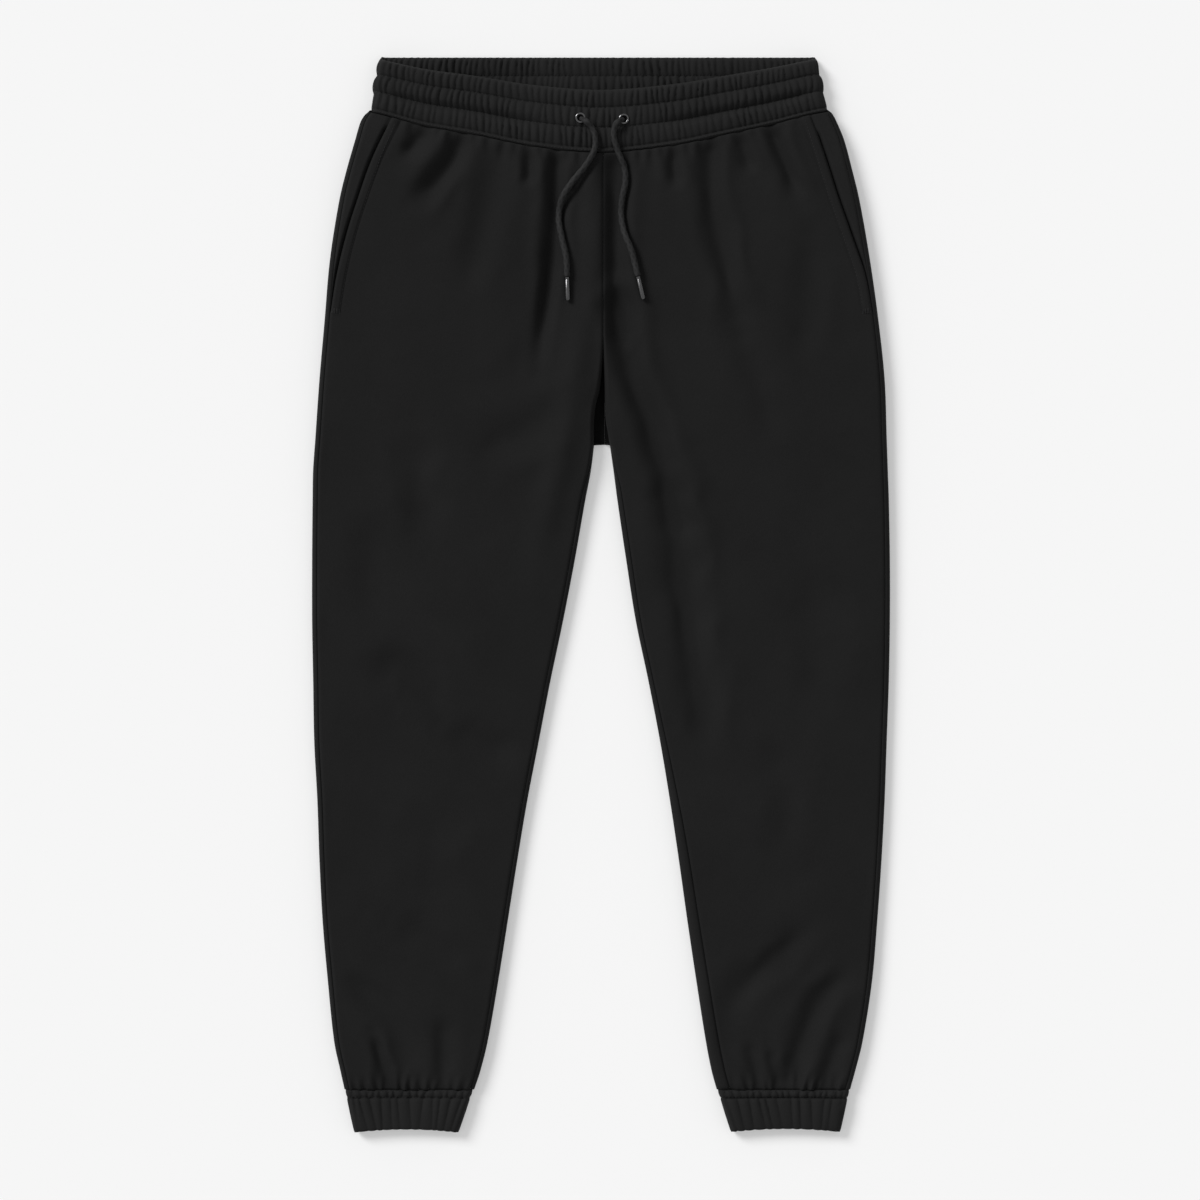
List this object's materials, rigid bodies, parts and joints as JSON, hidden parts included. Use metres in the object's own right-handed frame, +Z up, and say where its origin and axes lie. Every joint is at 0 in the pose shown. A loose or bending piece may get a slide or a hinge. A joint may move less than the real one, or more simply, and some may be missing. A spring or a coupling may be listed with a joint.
{
  "type": "jogger sweatpants",
  "caption": "Fleece jogger sweatpants laid flat, with a gathered elastic waistband, drawcord, slanted side pockets and elastic ankle cuffs.",
  "frame": {"origin": "middle of the garment's underside, on the surface that it lies on", "axes": "+X towards the right of someone looking down at the front, +Y from the cuffs to the waist, +Z up out of the surface"},
  "size_m": [0.5483, 1.0195, 0.0272],
  "materials": {
    "body_fleece": "matte knit face, brushed inside",
    "band_fleece": "matte knit, doubled and gathered over elastic",
    "cord": "matte braid",
    "metal": "dark polished metal"
  },
  "bodies": {
    "root": {"front_left": "body_fleece", "front_right": "body_fleece", "back_left": "body_fleece", "back_right": "body_fleece", "pocket_facing_left": "body_fleece", "pocket_facing_right": "body_fleece", "waistband": "band_fleece", "cuff_left": "band_fleece", "cuff_right": "band_fleece", "drawcord_left": "cord", "drawcord_right": "cord", "eyelet_left": "metal", "eyelet_right": "metal", "aglet_left": "metal", "aglet_right": "metal"}
  },
  "joints": []
}
